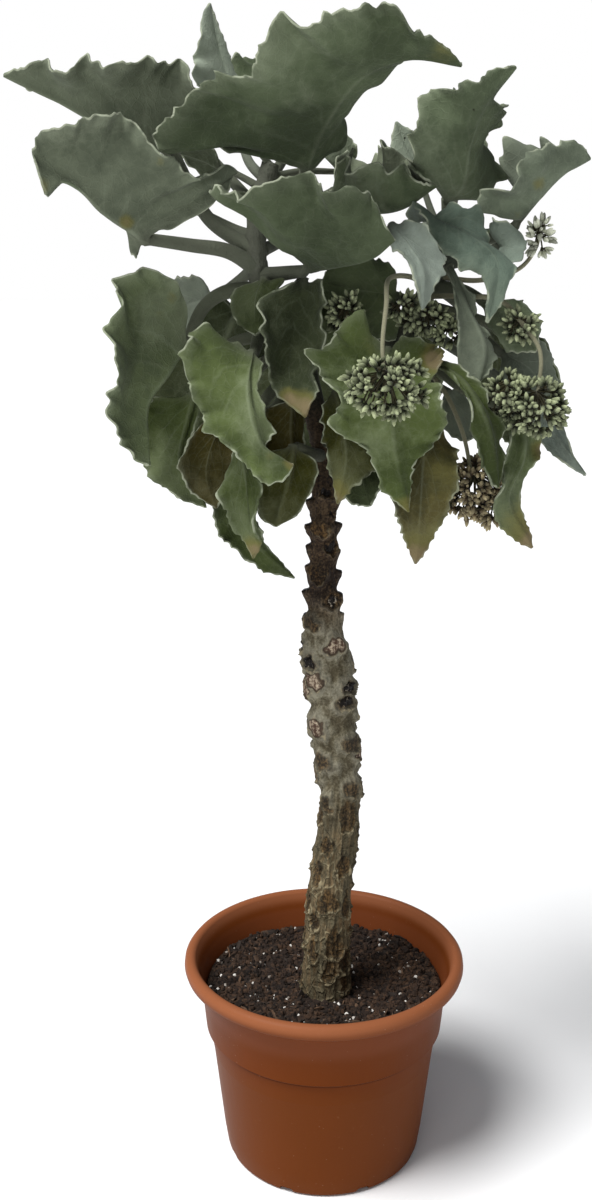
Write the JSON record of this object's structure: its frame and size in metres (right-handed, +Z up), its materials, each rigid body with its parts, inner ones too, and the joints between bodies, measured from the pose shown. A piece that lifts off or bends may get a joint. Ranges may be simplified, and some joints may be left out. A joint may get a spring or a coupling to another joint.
{
  "type": "potted felt bush",
  "caption": "Felt bush grown as a small standard: a bare scarred stem with a crown of large grey-green felted leaves and bud clusters, in a round terracotta-brown plastic pot",
  "frame": {"origin": "the middle of the flat underside of the pot, where it rests", "axes": "+Z up the stem, +X to the right and +Y away from the front, which is the side in the picture"},
  "size_m": [0.506, 0.3586, 1.105],
  "materials": {
    "pot_plastic": "matt terracotta brown",
    "potting_soil": "loose, granular, with pale grit",
    "bark": "rough bark with leaf scars",
    "felt_dark": "matt felted leaf",
    "felt_grey": "matt felted leaf",
    "felt_pale": "matt felted leaf",
    "felt_bluish": "matt felted leaf",
    "felt_fresh": "matt felted leaf",
    "felt_olive": "matt felted leaf",
    "felt_brown": "matt felted leaf"
  },
  "bodies": {
    "root": {"pot": "pot_plastic", "soil": "potting_soil", "stem": "bark", "leaf_far_left": "felt_grey", "leaf_left_droop": "felt_grey", "leaf_top_front": "felt_grey", "leaf_top_spike": "felt_pale", "leaf_front_fan": "felt_grey", "leaf_right_tall": "felt_grey", "leaf_far_right": "felt_grey", "leaf_middle_boat": "felt_grey", "leaf_young_a": "felt_pale", "leaf_young_b": "felt_grey", "leaf_young_c": "felt_grey", "leaf_shoot_left": "felt_pale", "leaf_front_claw": "felt_bluish", "leaf_right_saddle": "felt_bluish", "leaf_right_cup": "felt_bluish", "leaf_left_big": "felt_grey", "leaf_left_back": "felt_dark", "leaf_left_under": "felt_fresh", "leaf_left_brown": "felt_brown", "leaf_left_front": "felt_fresh", "leaf_left_folded": "felt_fresh", "leaf_left_low": "felt_fresh", "leaf_trunk_round": "felt_olive", "leaf_trunk_dark": "felt_brown", "leaf_front_small": "felt_fresh", "leaf_front_pocket": "felt_olive", "leaf_front_big": "felt_fresh", "leaf_front_pink": "felt_brown", "leaf_trunk_right": "felt_olive", "leaf_trunk_low": "felt_dark", "leaf_right_strap": "felt_grey", "leaf_right_curve": "felt_fresh", "leaf_right_inner": "felt_fresh", "leaf_right_shade": "felt_dark", "leaf_right_outer": "felt_dark", "leaf_right_tip": "felt_bluish", "leaf_right_low": "felt_olive", "leaf_right_dark": "felt_dark", "leaf_back_top": "felt_grey", "leaf_back_right_top": "felt_grey", "leaf_back_left_top": "felt_grey", "leaf_back_left_mid": "felt_grey", "leaf_back_mid": "felt_grey", "leaf_back_right_mid": "felt_grey", "leaf_back_left_low": "felt_dark", "leaf_back_centre_low": "felt_dark", "leaf_back_right_low": "felt_dark", "leaf_centre_shade": "felt_dark", "leaf_back_far_low": "felt_dark", "buds_front": "felt_fresh", "buds_middle": "felt_fresh", "buds_centre": "felt_fresh", "buds_right": "felt_fresh", "buds_dry": "felt_brown", "buds_far_right": "felt_pale"}
  },
  "joints": []
}
